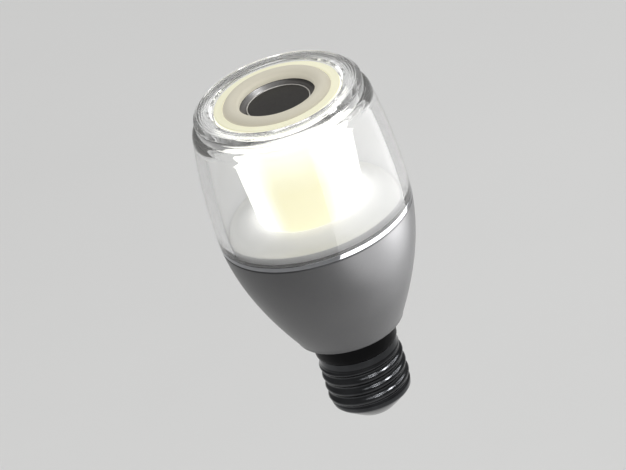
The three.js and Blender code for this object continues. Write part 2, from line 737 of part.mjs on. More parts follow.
/** Shallow cone from the voice coil's former to the surround. */
function speakerCone() {
  const thickness = 0.5;
  return turned(
    [
      [CONE_NECK_R, CONE_NECK_Z - thickness], [CONE_EDGE_R, CONE_EDGE_Z - 0.4],
      [CONE_EDGE_R, CONE_EDGE_Z], [CONE_EDGE_R - 0.2, CONE_EDGE_Z], [CONE_NECK_R, CONE_NECK_Z],
    ],
    MEDIUM,
  );
}

/** Nearly flat cap over the middle of the cone. */
function dustCap() {
  const seatZ = DUST_CAP_SEAT_Z;
  const crownZ = seatZ + 0.4;
  return turned(
    [
      [0, crownZ - 0.4], [DUST_CAP_R - 0.8, seatZ - 0.15], [DUST_CAP_R, seatZ],
      [DUST_CAP_R - 0.2, seatZ + 0.25], [0, crownZ],
    ],
    MEDIUM,
  );
}

piece('surround', surround(), 'beigeRubber');
piece('spider', spider(), 'spiderCloth');
piece('speaker_cone', speakerCone(), 'darkCone');
piece('dust_cap', dustCap(), 'darkCone');
piece(
  'voice_coil_former',
  washer(FORMER_R - 0.3, FORMER_R, COIL_BOTTOM_Z - 0.2, CONE_NECK_Z - 0.2, COARSE),
  'whiteBoard',
);
piece(
  'voice_coil',
  washer(FORMER_R + 0.2, FORMER_R + 0.7, COIL_BOTTOM_Z, COIL_TOP_Z, COARSE),
  'copper',
);

export default bulb;
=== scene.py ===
"""Looks of an LED light bulb with a loudspeaker in its top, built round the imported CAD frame.

Lengths are metres, in the CAD model's own frame: the origin is the end of the screw cap's contact
and +Z runs up the bulb's axis to the loudspeaker. MM turns millimetres into metres.
"""

import json
import math

import bmesh
import bpy
from mathutils import Matrix, Vector


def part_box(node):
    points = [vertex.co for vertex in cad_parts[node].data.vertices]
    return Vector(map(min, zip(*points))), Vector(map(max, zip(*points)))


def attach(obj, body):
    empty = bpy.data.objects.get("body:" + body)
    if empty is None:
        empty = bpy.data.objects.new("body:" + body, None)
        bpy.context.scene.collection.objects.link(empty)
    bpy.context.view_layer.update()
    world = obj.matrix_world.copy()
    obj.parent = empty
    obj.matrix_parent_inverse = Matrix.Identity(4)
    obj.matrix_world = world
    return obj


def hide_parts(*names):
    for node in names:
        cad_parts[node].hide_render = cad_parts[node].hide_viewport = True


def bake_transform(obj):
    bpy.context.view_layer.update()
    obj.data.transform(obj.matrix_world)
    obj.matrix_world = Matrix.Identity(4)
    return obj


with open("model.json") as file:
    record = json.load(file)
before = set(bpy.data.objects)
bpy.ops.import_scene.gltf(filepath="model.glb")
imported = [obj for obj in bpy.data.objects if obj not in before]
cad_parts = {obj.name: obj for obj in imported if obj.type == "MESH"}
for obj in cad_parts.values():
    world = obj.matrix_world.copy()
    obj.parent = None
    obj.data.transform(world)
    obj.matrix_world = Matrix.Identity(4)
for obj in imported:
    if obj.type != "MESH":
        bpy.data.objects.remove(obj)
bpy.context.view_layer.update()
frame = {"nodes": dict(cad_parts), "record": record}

MM = 0.001
COLLECTION = bpy.context.scene.collection

# ------------------------------------------------------------------ sizes taken from the frame


def top_of(node):
    """Height of a node's highest point."""
    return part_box(node)[1].z


def bottom_of(node):
    """Height of a node's lowest point."""
    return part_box(node)[0].z


def radius_of(node):
    """Largest radius of a round node about the bulb's axis."""
    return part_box(node)[1].x


# The body's outline swells to its widest level, just above the seam, and closes in above and below.
BODY_R = radius_of("clear_cover")
WIDEST_Z = 77 * MM
NECK_REACH = 75 * MM  # how far below the widest level the lower outline would close
NECK_POWER = 1.3
CROWN_REACH = 110.8 * MM  # how far above it the upper outline would close

SEAM_Z = top_of("housing_shell")
TRIM_TOP_Z = top_of("trim_ring")
LEDGE_Z = top_of("clear_cover")
RIM_TOP_Z = top_of("rim_ring")
RIM_R = radius_of("rim_ring")
DIFFUSER_TOP_Z = top_of("diffuser_cone")
TOTAL_HEIGHT = top_of("surround")

# ------------------------------------------------------------------ camera

CAMERA_ELEVATION = math.radians(28.7)
CAMERA_ROLL = math.radians(18)  # the bulb leans to the left by this much in the picture
CAMERA_DISTANCE = 3.0
FRAME_WIDTH = 192 * MM  # width of the picture at the bulb
AIM_HEIGHT = 71.2 * MM  # point of the axis that the camera is aimed near
AIM_OFFSET = (-0.6 * MM, -6.2 * MM)  # from that point, along the picture's own right and up


def add_camera():
    """A long lens, so that the view is nearly parallel, tilted down and rolled to the right."""
    right = Vector((1, 0, 0))
    up = Vector((0, math.sin(CAMERA_ELEVATION), math.cos(CAMERA_ELEVATION)))
    back = right.cross(up)
    rolled_right = right * math.cos(CAMERA_ROLL) - up * math.sin(CAMERA_ROLL)
    rolled_up = right * math.sin(CAMERA_ROLL) + up * math.cos(CAMERA_ROLL)
    aim = Vector((0, 0, AIM_HEIGHT)) + rolled_right * AIM_OFFSET[0] + rolled_up * AIM_OFFSET[1]
    data = bpy.data.cameras.new("camera")
    camera = bpy.data.objects.new("camera", data)
    COLLECTION.objects.link(camera)
    data.sensor_width = 36
    data.lens = data.sensor_width * CAMERA_DISTANCE / FRAME_WIDTH
    data.clip_start = 0.05
    data.clip_end = 60
    axes = Matrix((rolled_right, rolled_up, back)).transposed()
    camera.matrix_world = Matrix.Translation(aim + back * CAMERA_DISTANCE) @ axes.to_4x4()
    bpy.context.scene.camera = camera


add_camera()

# ------------------------------------------------------------------ shapes


def body_radius(z):
    """Radius of the body's outline at height z."""
    if z < WIDEST_Z:
        return BODY_R * (1 - ((WIDEST_Z - z) / NECK_REACH) ** 2) ** NECK_POWER
    return BODY_R * (1 - ((z - WIDEST_Z) / CROWN_REACH) ** 2)


def outline(from_z, to_z, inset=0.0, steps=24):
    """Points (radius, z) along the body's outline, moved in by inset."""
    heights = [from_z + (to_z - from_z) * i / steps for i in range(steps + 1)]
    return [(body_radius(z) - inset, z) for z in heights]


def filleted(corners, closed=True, steps=5):
    """Points (radius, z) of a polygon whose corners (radius, z, fillet) are rounded.

    An open line keeps its two end corners sharp. A fillet too large for its sides is cut to fit.
    """
    points = []
    count = len(corners)
    for i, (r, z, fillet) in enumerate(corners):
        here = Vector((r, z))
        is_end = not closed and i in (0, count - 1)
        if fillet <= 0 or is_end:
            points.append((r, z))
            continue
        before = Vector(corners[i - 1][:2]) - here
        after = Vector(corners[(i + 1) % count][:2]) - here
        half = before.angle(after) / 2
        room = 0.49 * min(before.length, after.length)
        reach = min(fillet / math.tan(half), room)
        start = here + before.normalized() * reach
        end = here + after.normalized() * reach
        for k in range(steps + 1):
            t = k / steps
            point = start * (1 - t) ** 2 + here * 2 * t * (1 - t) + end * t ** 2
            points.append((point.x, point.y))
    return points


def finish_mesh(name, mesh_data, crease_deg=38):
    """An object from a bmesh, with faces out, smooth but for edges sharper than the crease."""
    bmesh.ops.remove_doubles(mesh_data, verts=mesh_data.verts, dist=1e-7)
    bmesh.ops.recalc_face_normals(mesh_data, faces=mesh_data.faces)
    mesh = bpy.data.meshes.new(name)
    mesh_data.to_mesh(mesh)
    mesh_data.free()
    mesh.polygons.foreach_set("use_smooth", [True] * len(mesh.polygons))
    mesh.set_sharp_from_angle(angle=math.radians(crease_deg))
    thing = bpy.data.objects.new(name, mesh)
    COLLECTION.objects.link(thing)
    return thing


def turned(name, points, sides=160, shift=None, crease_deg=38):
    """A solid turned about the Z axis from points (radius, z), a ring or closed on the axis.

    shift(radius, z, angle) gives another (radius, z) for a vertex, as for a screw thread.
    """
    work = bmesh.new()
    ring = min(points[0][0], points[-1][0]) > 1e-6
    columns = []
    for i in range(sides):
        angle = 2 * math.pi * i / sides
        column = []
        for r, z in points:
            moved = shift(r, z, angle) if shift else (r, z)
            place = (moved[0] * math.cos(angle), moved[0] * math.sin(angle), moved[1])
            column.append(work.verts.new(place))
        columns.append(column)
    rows = len(points) if ring else len(points) - 1
    for i in range(sides):
        here, there = columns[i], columns[(i + 1) % sides]
        for k in range(rows):
            m = (k + 1) % len(points)
            corners = [here[k], there[k], there[m], here[m]]
            if points[k][0] < 1e-6:
                corners = [here[k], there[m], here[m]]
            elif points[m][0] < 1e-6:
                corners = [here[k], there[k], here[m]]
            work.faces.new(corners)
    return finish_mesh(name, work, crease_deg)


def add_piece(thing, body, slot, material, *nodes):
    """Gives a new piece its material and body, and hides the CAD nodes that it stands for. The slot is not
    used.
    """
    thing.data.materials.append(material)
    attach(thing, body)
    if nodes:
        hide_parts(*nodes)
    return thing


# ------------------------------------------------------------------ material tools


class Recipe:
    """A node material under construction, with one Principled shader."""

    def __init__(self, name, **sockets):
        self.material = bpy.data.materials.new(name)
        self.material.use_nodes = True
        self.nodes = self.material.node_tree.nodes
        self.links = self.material.node_tree.links
        self.shader = self.nodes["Principled BSDF"]
        self.place = self.add("ShaderNodeTexCoord").outputs["Object"]
        for socket, value in sockets.items():
            self.shader.inputs[socket.replace("_", " ")].default_value = value

    def add(self, kind, **settings):
        """A node with settings: attributes by name, or input sockets by name."""
        node = self.nodes.new(kind)
        for key, value in settings.items():
            if hasattr(node, key):
                setattr(node, key, value)
            else:
                node.inputs[key.replace("_", " ")].default_value = value
        return node

    def link(self, source, target):
        """Joins an output to an input."""
        self.links.new(source, target)

    def noise(self, scale, detail=4.0, roughness=0.55, stretch=(1, 1, 1)):
        """Noise over the object's own coordinates, in features per metre."""
        mapping = self.add("ShaderNodeMapping")
        mapping.inputs["Scale"].default_value = stretch
        self.link(self.place, mapping.inputs["Vector"])
        node = self.add("ShaderNodeTexNoise", Scale=scale, Detail=detail, Roughness=roughness)
        self.link(mapping.outputs["Vector"], node.inputs["Vector"])
        return node.outputs["Fac"]

    def ramp(self, source, stops):
        """A colour ramp of (position, colour) stops."""
        node = self.add("ShaderNodeValToRGB")
        elements = node.color_ramp.elements
        while len(elements) < len(stops):
            elements.new(0.5)
        for element, (position, colour) in zip(elements, stops):
            element.position = position
            element.color = (*colour, 1)
        self.link(source, node.inputs["Fac"])
        return node.outputs["Color"]

    def scaled(self, source, low, high, from_low=0.0, from_high=1.0):
        """A value mapped from one range to another and clamped."""
        node = self.add("ShaderNodeMapRange")
        node.inputs["From Min"].default_value = from_low
        node.inputs["From Max"].default_value = from_high
        node.inputs["To Min"].default_value = low
        node.inputs["To Max"].default_value = high
        self.link(source, node.inputs["Value"])
        return node.outputs["Result"]

    def maths(self, operation, first, second=None):
        """A Math node of two values or sockets."""
        node = self.add("ShaderNodeMath", operation=operation)
        for i, value in enumerate((first, second)):
            if isinstance(value, (int, float)):
                node.inputs[i].default_value = value
            elif value is not None:
                self.link(value, node.inputs[i])
        return node.outputs[0]

    def bump(self, source, depth):
        """Relief of a real depth, in metres, added to any relief already there."""
        node = self.add("ShaderNodeBump", Strength=1.0, Distance=depth)
        self.link(source, node.inputs["Height"])
        old = self.shader.inputs["Normal"]
        if old.is_linked:
            self.link(old.links[0].from_socket, node.inputs["Normal"])
        self.link(node.outputs["Normal"], old)

    def axes(self):
        """Separate X, Y and Z of the object's coordinates."""
        node = self.add("ShaderNodeSeparateXYZ")
        self.link(self.place, node.inputs[0])
        return node.outputs

    def radius(self):
        """Distance from the bulb's axis."""
        x, y, _ = self.axes()
        square = self.maths("ADD", self.maths("MULTIPLY", x, x), self.maths("MULTIPLY", y, y))
        return self.maths("SQRT", square)

    def colour(self, socket):
        """Uses a colour socket as the base colour."""
        self.link(socket, self.shader.inputs["Base Color"])

    def roughness(self, socket):
        """Uses a value socket as the roughness."""
        self.link(socket, self.shader.inputs["Roughness"])


def srgb(*values):
    """Linear colour from three 0-255 display values."""
    scaled = [v / 255 for v in values]
    return tuple(s / 12.92 if s <= 0.04045 else ((s + 0.055) / 1.055) ** 2.4 for s in scaled)


def mottled(name, dark, light, scale, rough, relief=0.0, metallic=0.0, **sockets):
    """A plain finish that drifts between two display colours and two roughnesses.

    Its features come scale to the metre, and its fine relief is given in millimetres.
    """
    recipe = Recipe(name, Metallic=metallic, **sockets)
    broad = recipe.noise(scale)
    recipe.colour(recipe.ramp(broad, [(0.3, srgb(*dark)), (0.7, srgb(*light))]))
    gloss_scale, relief_scale = scale * 2.3, scale * 12
    recipe.roughness(recipe.scaled(recipe.noise(gloss_scale), *rough, 0.3, 0.7))
    if relief:
        recipe.bump(recipe.noise(relief_scale, 2), relief * MM)
    return recipe.material


# ------------------------------------------------------------------ materials of the outside


def silver_paint():
    """Satin silver paint: metal flakes under a thin clear layer."""
    recipe = Recipe("silver_paint", Metallic=0.7, Coat_Weight=0.15, Coat_Roughness=0.3)
    flakes = recipe.noise(9000, 1, 0.4)
    drift = recipe.noise(45, 3)
    flake_part = recipe.maths("MULTIPLY", flakes, 0.6)
    tone = recipe.maths("ADD", flake_part, recipe.maths("MULTIPLY", drift, 0.4))
    recipe.colour(recipe.ramp(tone, [(0.3, srgb(92, 92, 93)), (0.7, srgb(106, 106, 107))]))
    recipe.roughness(recipe.scaled(drift, 0.33, 0.4, 0.3, 0.7))
    recipe.bump(flakes, 0.004 * MM)
    recipe.bump(recipe.noise(700, 2), 0.006 * MM)
    return recipe.material


def polished_trim():
    """Bright plated ring with hairline polishing marks that run round it."""
    recipe = Recipe("polished_trim", Metallic=1.0)
    lines = recipe.noise(400, 3, 0.6, (1, 1, 18))
    recipe.colour(recipe.ramp(lines, [(0.3, srgb(146, 147, 150)), (0.7, srgb(162, 163, 166))]))
    recipe.roughness(recipe.scaled(lines, 0.05, 0.11, 0.3, 0.7))
    return recipe.material


def cap_metal():
    """Nickel-plated thread, slightly dulled in places, with drawing marks along it."""
    recipe = Recipe("cap_metal", Metallic=1.0)
    drift = recipe.noise(160, 4)
    marks = recipe.noise(1500, 3, 0.6, (1, 1, 0.08))
    recipe.colour(recipe.ramp(drift, [(0.3, srgb(62, 63, 65)), (0.7, srgb(80, 81, 83))]))
    drift_part = recipe.maths("MULTIPLY", drift, 0.7)
    gloss = recipe.maths("ADD", drift_part, recipe.maths("MULTIPLY", marks, 0.3))
    recipe.roughness(recipe.scaled(gloss, 0.12, 0.26, 0.3, 0.7))
    recipe.bump(marks, 0.004 * MM)
    return recipe.material


def contact_metal():
    """Dull tinned contact with shallow ripples from soldering."""
    recipe = Recipe("contact_metal", Metallic=1.0)
    drift = recipe.noise(600, 4)
    recipe.colour(recipe.ramp(drift, [(0.3, srgb(44, 45, 47)), (0.7, srgb(64, 65, 66))]))
    recipe.roughness(recipe.scaled(drift, 0.2, 0.34, 0.3, 0.7))
    recipe.bump(recipe.noise(420, 2), 0.08 * MM)
    return recipe.material


def clear_plastic():
    """Thick clear moulded plastic, very slightly wavy, with a faint painted glow."""
    recipe = Recipe("clear_plastic", Transmission_Weight=0.97, Roughness=0.0, IOR=1.49)
    # Painted glow: the clear plastic, which is no lamp, gives off a faint even light of its own.
    recipe.shader.inputs["Emission Color"].default_value = (1, 1, 0.96, 1)
    recipe.shader.inputs["Emission Strength"].default_value = 0.012
    faint, clear = (0.985, 0.988, 0.99), (0.995, 0.995, 0.995)
    recipe.colour(recipe.ramp(recipe.noise(30), [(0.3, faint), (0.7, clear)]))
    recipe.bump(recipe.noise(60, 1), 0.004 * MM)
    return recipe.material


def lit_opal():
    """Opal plastic lit from inside: painted shade makes the glow dimmer and cream low on two sides, the
    flange is cream, white elsewhere.
    """
    recipe = Recipe("lit_opal", Roughness=0.4)
    x, y, z = recipe.axes()
    height = recipe.scaled(z, 0, 1, bottom_of("diffuser_cone"), DIFFUSER_TOP_Z)
    angle = recipe.maths("ARCTAN2", y, x)
    painted_shade_turn = math.radians(98)  # turns the painted shade, a dimmer cream glow, to the front and the back
    turned_angle = recipe.maths("ADD", angle, painted_shade_turn)
    lobes = recipe.maths("COSINE", recipe.maths("MULTIPLY", turned_angle, 2.0))
    flats = recipe.scaled(lobes, 0, 1, 0.1, 0.8)
    cream = recipe.maths("MULTIPLY", flats, recipe.scaled(height, 1, 0, 0.4, 0.95))
    top = recipe.scaled(height, 0, 0.75, 0.97, 0.995)
    tint = recipe.maths("MAXIMUM", cream, top)
    glow = recipe.ramp(
        tint,
        [(0.0, srgb(255, 255, 250)), (0.5, srgb(253, 252, 226)), (1.0, srgb(249, 243, 200))],
    )
    unlit = recipe.ramp(recipe.noise(90), [(0.3, srgb(196, 194, 170)), (0.7, srgb(202, 200, 178))])
    recipe.colour(unlit)
    recipe.link(glow, recipe.shader.inputs["Emission Color"])
    # Painted shade: the glow is weaker on the cream sides.
    side_glow = recipe.scaled(tint, 1.25, 0.84, 0.0, 0.8)
    flange = recipe.scaled(z, 1.0, 0.42, DIFFUSER_TOP_Z - 0.5 * MM, DIFFUSER_TOP_Z - 0.1 * MM)
    strength = recipe.maths("MULTIPLY", side_glow, flange)
    recipe.link(strength, recipe.shader.inputs["Emission Strength"])
    return recipe.material


def surround_rubber():
    """Matt beige rubber with a fine grain and a painted glow; a painted highlight makes its inner lip
    paler, and painted shade makes it a little darker where it meets the basket.
    """
    # Painted glow: the rubber, which is no lamp, is given a beige light of its own.
    recipe = Recipe("surround_rubber", Sheen_Weight=0.1, Emission_Strength=0.46)
    recipe.shader.inputs["Emission Color"].default_value = (*srgb(226, 220, 202), 1)
    inner, outer = 12 * MM, radius_of("surround")
    across = recipe.scaled(recipe.radius(), 0, 1, inner, outer)
    # Painted highlight paling the inner lip, and painted shade darkening the colour towards the basket.
    recipe.colour(recipe.ramp(across, [
        (0.0, srgb(176, 172, 156)), (0.14, srgb(146, 142, 128)), (0.7, srgb(140, 136, 122)),
        (1.0, srgb(130, 125, 111)),
    ]))
    grain = recipe.noise(5200, 2)
    recipe.roughness(recipe.scaled(grain, 0.5, 0.68, 0.3, 0.7))
    recipe.bump(grain, 0.012 * MM)
    return recipe.material


def white_plate():
    """Satin white plastic with a faint painted glow, strongest round the foot of the diffuser."""
    recipe = Recipe("plate_plastic")
    white = recipe.ramp(recipe.noise(60), [(0.3, srgb(238, 238, 239)), (0.7, srgb(244, 244, 245))])
    recipe.colour(white)
    recipe.roughness(recipe.scaled(recipe.noise(140), 0.3, 0.4, 0.3, 0.7))
    recipe.bump(recipe.noise(720, 2), 0.002 * MM)
    # Painted light: the plate's own glow fades from the diffuser's foot out to its lip.
    recipe.shader.inputs["Emission Color"].default_value = (1, 1, 0.98, 1)
    foot_r, lip_r = 17 * MM, 27 * MM
    glow = recipe.scaled(recipe.radius(), 0.3, 0.03, foot_r, lip_r)
    recipe.link(glow, recipe.shader.inputs["Emission Strength"])
    return recipe.material


SILVER = silver_paint()
TRIM = polished_trim()
CAP = cap_metal()
CONTACT = contact_metal()
CLEAR = clear_plastic()
OPAL = lit_opal()
BEIGE = surround_rubber()
COLLAR = mottled("collar_plastic", (10, 10, 12), (18, 18, 20), 300, (0.3, 0.4), 0.003, IOR=1.2)
BLACK_GLASS = mottled(
    "base_glass", (8, 8, 10), (18, 17, 20), 200, (0.06, 0.14), 0.01, Coat_Weight=0.6,
)
WHITE = white_plate()
GASKET = mottled("gasket_rubber", (70, 72, 74), (92, 94, 96), 900, (0.6, 0.75), 0.01)
CONE = mottled(
    "cone_paper", (32, 30, 28), (46, 43, 41), 2600, (0.5, 0.7), 0.015,
    Coat_Weight=0.5, Coat_Roughness=0.3,
)
BOND = mottled("foot_bond", (84, 84, 86), (104, 104, 106), 500, (0.5, 0.7), 0.01)
CAP_DARK = mottled("dust_cap_face", (37, 35, 34), (47, 45, 43), 1800, (0.38, 0.5), 0.006, IOR=1.25)
SPIDER_WEAVE = mottled("spider_weave", (196, 158, 86), (214, 178, 108), 3000, (0.8, 0.95), 0.05)
BRIGHT_EDGE = mottled("bright_edge", (190, 188, 184), (214, 212, 208), 900, (0.25, 0.35), metallic=0.8)

# ------------------------------------------------------------------ screw cap


def screw_shell():
    """Thin shell with a rounded right-hand thread, a plain band above and a rolled lip below."""
    pitch = 3.629 * MM
    crest = 13.2 * MM
    root = 12.3 * MM
    band = 12.6 * MM
    low, high = 7.4 * MM, 21.2 * MM
    bottom, top = bottom_of("screw_shell"), top_of("screw_shell")
    middle = (crest + root) / 2
    depth = (crest - root) / 2
    rows = 76
    bore = 11.4 * MM
    bore_limit = 11.6 * MM
    squareness = 0.85
    fade_length = pitch * 0.4
    lip = filleted([
        (11.15 * MM, bottom + 0.25 * MM, 0.1 * MM), (11.3 * MM, bottom, 0.2 * MM),
        (11.7 * MM, bottom + 0.1 * MM, 0.3 * MM), (12.5 * MM, bottom + 1 * MM, 0.6 * MM),
        (middle, low, 0),
    ], closed=False)
    wall = [(middle, low + (high - low) * i / rows) for i in range(1, rows + 1)]
    rim = filleted([
        (middle, high, 0), (band, high + 0.35 * MM, 0.3 * MM), (band, top - 0.05 * MM, 0.1 * MM),
        (band - 0.25 * MM, top, 0.1 * MM), (bore, top, 0), (bore, bottom + 0.8 * MM, 0.3 * MM),
        (11.15 * MM, bottom + 0.7 * MM, 0),
    ], closed=False)[1:]

    def thread(r, z, angle):
        """Moves the outer wall in and out along a helix that dies away at both ends."""
        fade = min(1, min(z - low, high - z) / fade_length)
        if r < bore_limit or fade <= 0:
            return r, z
        wave = math.cos(2 * math.pi * z / pitch - angle)
        shaped = math.copysign(abs(wave) ** squareness, wave)
        return r + depth * shaped * fade * fade * (3 - 2 * fade), z

    return turned("screw_shell_metal", lip + wall + rim, 144, thread, crease_deg=60)


def centre_contact():
    """Solder button with a soft dome and a flat end."""
    edge = radius_of("centre_contact")
    flat_r = 4.2 * MM
    top = 1.75 * MM
    points = filleted([
        (0, 0, 0), (flat_r, 0, 0.8 * MM), (5.2 * MM, 0.4 * MM, 0.6 * MM), (edge, 0.95 * MM, 0.3 * MM),
        (edge, top, 0.2 * MM), (0, top, 0),
    ], closed=False)
    return turned("contact_button", points, 64)


def base_insulator():
    """Black glass with one moulded step, from the recess round the contact to the shell's lip."""
    top = top_of("base_insulator")
    recess = radius_of("centre_contact") + 0.1 * MM
    lead_hole, seat_r = 1.0 * MM, 11.05 * MM
    floor, rim = 1.85 * MM, 1.1 * MM
    points = filleted([
        (lead_hole, floor, 0), (recess, floor, 0), (recess, rim, 0.15 * MM),
        (6.6 * MM, rim, 0.3 * MM), (8.3 * MM, 2.7 * MM, 0.5 * MM), (8.9 * MM, 2.9 * MM, 0.3 * MM),
        (seat_r, 5.1 * MM, 0.3 * MM), (seat_r, top, 0), (lead_hole, top, 0),
    ])
    return turned("insulator_glass", points, 96)


def neck_collar():
    """Gloss collar with rounded edges that fills the neck between cap and housing."""
    low = top_of("screw_shell") + 0.3 * MM
    high = bottom_of("housing_shell")
    foot, top = bottom_of("neck_collar"), top_of("neck_collar")
    head_z = high + 2.25 * MM
    shoulder_z = high - 0.1 * MM
    bore, spigot, neck = 9.6 * MM, 11.3 * MM, 12.6 * MM
    mouth, head = 12.8 * MM, radius_of("neck_collar")
    points = filleted([
        (bore, foot, 0), (spigot, foot, 0.2 * MM), (spigot, low, 0), (13.0 * MM, low, 0.3 * MM),
        (13.15 * MM, low + 1.2 * MM, 0.4 * MM), (13.4 * MM, shoulder_z, 0.15 * MM),
        (neck, shoulder_z, 0), (neck, head_z, 0), (head, head_z, 0.2 * MM), (head, top, 0.3 * MM),
        (mouth, top, 0.3 * MM), (mouth, top - 1.6 * MM, 0), (bore, top - 3 * MM, 0),
    ])
    return turned("collar_gloss", points, 128)


# ------------------------------------------------------------------ housing, seam and cover


def housing_shell():
    """Silver shell: rounded foot, one long sweep, and a fine bevel at the seam."""
    foot = bottom_of("housing_shell")
    wall = 1.6 * MM
    bevel = 0.3 * MM
    hole = 12.7 * MM
    sweep_from = foot + 1.1 * MM
    floor_z = foot + 2 * MM
    sweep = outline(sweep_from, SEAM_Z - bevel, 0, 72)
    inner = outline(foot + 3 * MM, SEAM_Z, wall, 24)[::-1]
    edge = body_radius(sweep_from)
    rounding = filleted([
        (hole, foot, 0.0), (edge - 0.75 * MM, foot, 0.35 * MM),
        (edge - 0.15 * MM, foot + 0.5 * MM, 0.5 * MM), (*sweep[1], 0),
    ], closed=False)
    lip = [(body_radius(SEAM_Z) - bevel * 0.8, SEAM_Z)]
    floor = [(hole + 1.2 * MM, floor_z), (hole, floor_z)]
    return turned("housing_painted", rounding + sweep[2:] + lip + inner + floor, 192)


def trim_ring():
    """Polished ring that closes the seam, with softened edges and the gasket's groove."""
    bottom = SEAM_Z + 0.12 * MM
    outer = body_radius(SEAM_Z + 1 * MM)
    top = TRIM_TOP_Z
    spigot, inner = 28.5 * MM, 27.8 * MM
    spigot_z = 68 * MM
    groove, groove_z = outer - 0.7 * MM, top - 0.9 * MM
    points = filleted([
        (inner, spigot_z, 0), (spigot, spigot_z, 0), (spigot, bottom, 0),
        (outer - 0.25 * MM, bottom, 0.1 * MM), (outer + 0.02 * MM, bottom + 0.3 * MM, 0.25 * MM),
        (outer + 0.06 * MM, top - 0.15 * MM, 0.15 * MM), (outer - 0.1 * MM, top, 0.08 * MM),
        (groove, top, 0.05 * MM), (groove, groove_z, 0), (inner, groove_z, 0.1 * MM),
    ])
    return turned("trim_polished", points, 192)


def cover_gasket():
    """Grey seal under the cover, domed where the cover presses on it."""
    low, high = TRIM_TOP_Z - 0.88 * MM, TRIM_TOP_Z + 0.02 * MM
    inner, outer = 28.0 * MM, 29.8 * MM
    points = filleted([
        (inner, low, 0.1 * MM), (outer, low, 0.1 * MM),
        (outer, high, 0.25 * MM), (inner, high, 0.25 * MM),
    ])
    return turned("gasket_seal", points, 160)


def clear_cover():
    """Clear shell with a thick wall and a rounded shoulder turned in to a flat ledge."""
    low = TRIM_TOP_Z + 0.06 * MM
    wall = 3.1 * MM
    shoulder = 107 * MM
    shoulder_r = body_radius(shoulder)
    turn = 2.1 * MM
    ledge_inner = 22.4 * MM
    under = LEDGE_Z - 2 * MM
    bevel = 0.2 * MM
    rows, arc_steps = 64, 20
    outside = outline(low + bevel, shoulder, 0, rows)
    for i in range(1, arc_steps + 1):
        angle = math.pi / 2 * i / arc_steps
        r = shoulder_r - turn + turn * math.cos(angle)
        outside.append((r, shoulder + (LEDGE_Z - shoulder) * math.sin(angle)))
    inside = outline(low + bevel, shoulder - 1.2 * MM, wall, rows)
    top = filleted([
        (*outside[-1], 0), (ledge_inner, LEDGE_Z, 0.3 * MM), (ledge_inner, under, 0.3 * MM),
        (inside[-1][0] - 0.2 * MM, under, 1.4 * MM), (*inside[-2], 0),
    ], closed=False, steps=16)
    foot = filleted([
        (*inside[0], 0), (inside[0][0], low, 0.15 * MM),
        (outside[0][0], low, 0.15 * MM), (*outside[0], 0),
    ], closed=False)
    points = outside[:-1] + top + inside[:-2][::-1] + foot[1:-1]
    return turned("cover_clear", points, 256)


def rim_ring():
    """Thick clear ring round the loudspeaker, with soft concentric grooves moulded in its top."""
    low = LEDGE_Z + 0.12 * MM
    top = RIM_TOP_Z
    inner = 20.6 * MM
    foot_r = 22.3 * MM
    groove_count, groove_width, groove_depth = 4, 0.75 * MM, 0.08 * MM
    first_groove_r = 25 * MM
    steps = 8 * groove_count
    grooves = []
    for i in range(steps + 1):
        across = groove_count * i / steps
        dip = groove_depth * (1 - math.cos(2 * math.pi * across)) / 2
        grooves.append((first_groove_r - groove_width * across, top - dip, 0))
    points = filleted([
        (foot_r, low, 0.1 * MM), (RIM_R - 0.25 * MM, low, 0.25 * MM),
        (RIM_R, low + 0.6 * MM, 0.4 * MM), (RIM_R, top - 1.3 * MM, 1.1 * MM),
        (RIM_R - 1.5 * MM, top - 0.05 * MM, 0.5 * MM), *grooves,
        (inner + 0.8 * MM, top, 0.5 * MM), (inner, top - 0.7 * MM, 0.5 * MM), (inner, low, 0.2 * MM),
    ])
    return turned("rim_clear", points, 384, crease_deg=30)


# ------------------------------------------------------------------ plate and diffuser


def reflector_plate():
    """White dish on a short skirt, rising smoothly from its lip to the foot of the diffuser."""
    lip = 74.1 * MM
    rise = top_of("reflector_plate") - lip
    lip_r, inner_r, outer_r = 26.6 * MM, 17.15 * MM, radius_of("reflector_plate")
    wall = 0.9 * MM
    steps = 24
    top = []
    for i in range(steps + 1):
        t = i / steps
        top.append((lip_r + (inner_r - lip_r) * t, lip + rise * (1 - math.cos(math.pi * t)) / 2))
    under = [(r, z - wall) for r, z in top][::-1]
    bottom = bottom_of("reflector_plate")
    edge = filleted([
        (*under[-1], 0), (outer_r - wall, bottom, 0.1 * MM), (outer_r, bottom, 0.1 * MM),
        (outer_r, lip, 0.3 * MM), (*top[0], 0),
    ], closed=False)
    return turned("plate_white", under + edge[1:-1] + top, 160)


def diffuser():
    """Opal funnel with a softly rounded shoulder and a flat ring turned in at its top."""
    foot_r, top_r, wall = 17 * MM, 20.2 * MM, 1.5 * MM
    flange_r = 17.25 * MM
    foot, flare_from, top = 73.9 * MM, 76.7 * MM, DIFFUSER_TOP_Z
    flange_z = top - 1.2 * MM
    points = filleted([
        (foot_r - wall, foot, 0), (foot_r, foot, 0.2 * MM), (foot_r, flare_from, 2 * MM),
        (top_r, flange_z, 1.2 * MM), (top_r - 0.25 * MM, top, 0.5 * MM), (flange_r, top, 0.25 * MM),
        (flange_r, flange_z, 0), (top_r - wall, flange_z, 1 * MM), (foot_r - wall, flare_from, 1 * MM),
    ], steps=8)
    return turned("diffuser_opal", points, 160)


# ------------------------------------------------------------------ loudspeaker


